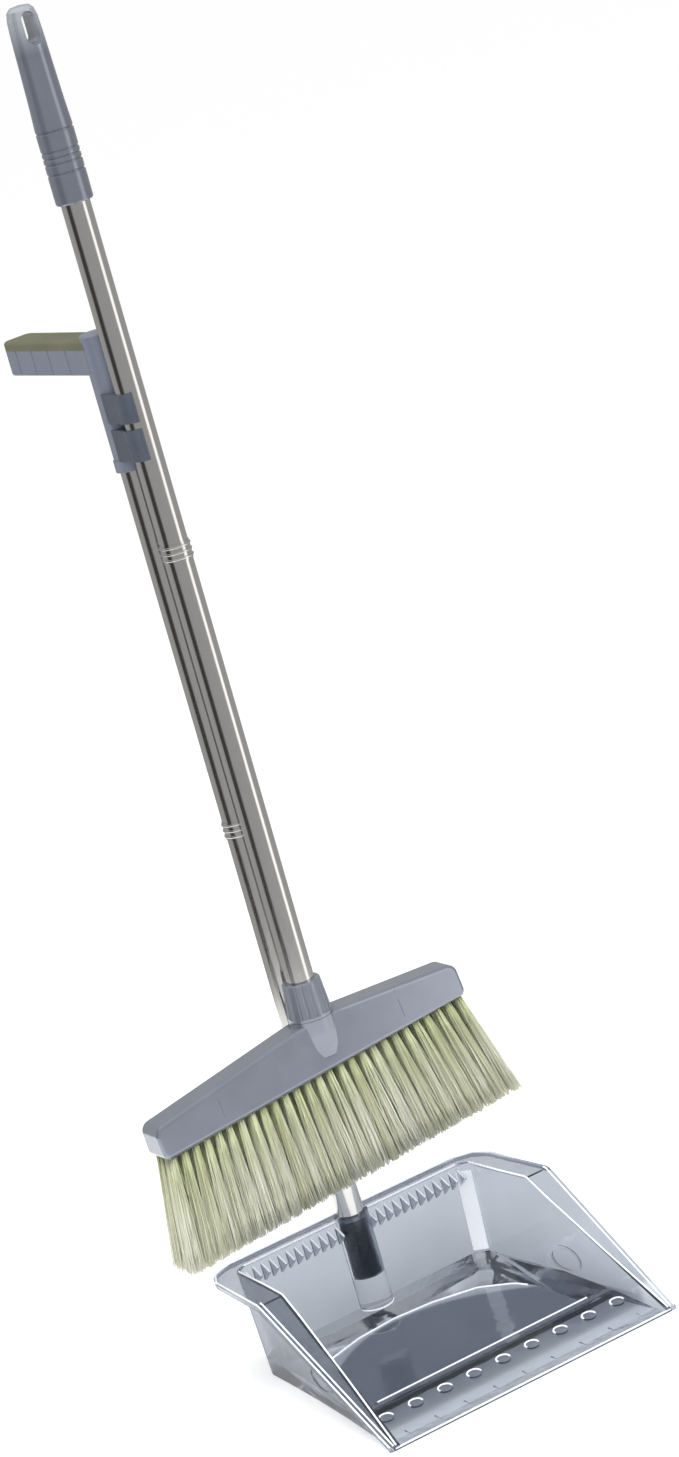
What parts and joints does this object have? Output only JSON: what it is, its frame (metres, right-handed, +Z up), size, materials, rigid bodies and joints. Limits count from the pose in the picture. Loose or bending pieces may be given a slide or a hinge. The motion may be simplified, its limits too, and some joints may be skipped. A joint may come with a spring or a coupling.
{
  "type": "dust pan and brush set",
  "caption": "Upright lobby dustpan with a clear pan, tube pole and bar handle, and a long broom held beside the pole by snap clips.",
  "frame": {"origin": "on the floor under the axis of the dustpan's pole, on the pan's flat underside", "axes": "+Z up along the poles, -Y out of the pan's mouth, +X to the right seen from the mouth"},
  "size_m": [0.3091, 0.3561, 1.062],
  "materials": {
    "clear_tinted_plastic": "polished clear plastic with a blue-grey tint",
    "stainless_tube": "polished stainless tube",
    "blue_grey_plastic": "satin moulded plastic",
    "blue_grey_gloss": "glossy moulded plastic",
    "olive_soft_grip": "matte soft-touch rubber",
    "dark_plastic": "matte moulded plastic",
    "bristle": "straight synthetic filament"
  },
  "bodies": {
    "dustpan": {"dustpan_shell": "clear_tinted_plastic", "pole_end_plug": "dark_plastic", "pan_pole_lower_tube": "stainless_tube", "pan_pole_upper_tube": "stainless_tube", "pan_pole_joint_core": "dark_plastic", "pan_pole_joint_ring": "stainless_tube", "clip_handle_sleeve": "blue_grey_plastic", "lower_clip": "blue_grey_plastic", "upper_clip": "blue_grey_plastic", "handle_bar": "blue_grey_plastic", "handle_pad": "olive_soft_grip", "sleeve_cap": "blue_grey_plastic"},
    "broom_upper": {"broom_grip": "blue_grey_gloss", "broom_tube_upper": "stainless_tube", "broom_joint_core": "dark_plastic", "broom_joint_ring": "stainless_tube"},
    "broom_lower": {"broom_tube_lower": "stainless_tube", "head_thread_spigot": "dark_plastic", "broom_head": "blue_grey_gloss", "tuft_row_1": "bristle", "tuft_row_2": "bristle", "tuft_row_3": "bristle", "tuft_row_4": "bristle"},
    "collar": {"collar_nut": "blue_grey_gloss"}
  },
  "joints": [
    {"name": "broom_slide", "type": "slide", "parent": "dustpan", "child": "broom_upper", "axis": [0, 0, 1], "range_m": [-0.03, 0.058]},
    {"name": "broom_turn", "type": "hinge", "parent": "broom_upper", "child": "broom_lower", "pos_m": [0, -0.0303, 0.6425], "axis": [0, 0, 1], "range_deg": [-16, 16]},
    {"name": "collar_screw", "type": "hinge", "parent": "broom_lower", "child": "collar", "pos_m": [0, -0.0303, 0.279], "axis": [0, 0, 1], "range_deg": [0, 180]}
  ]
}
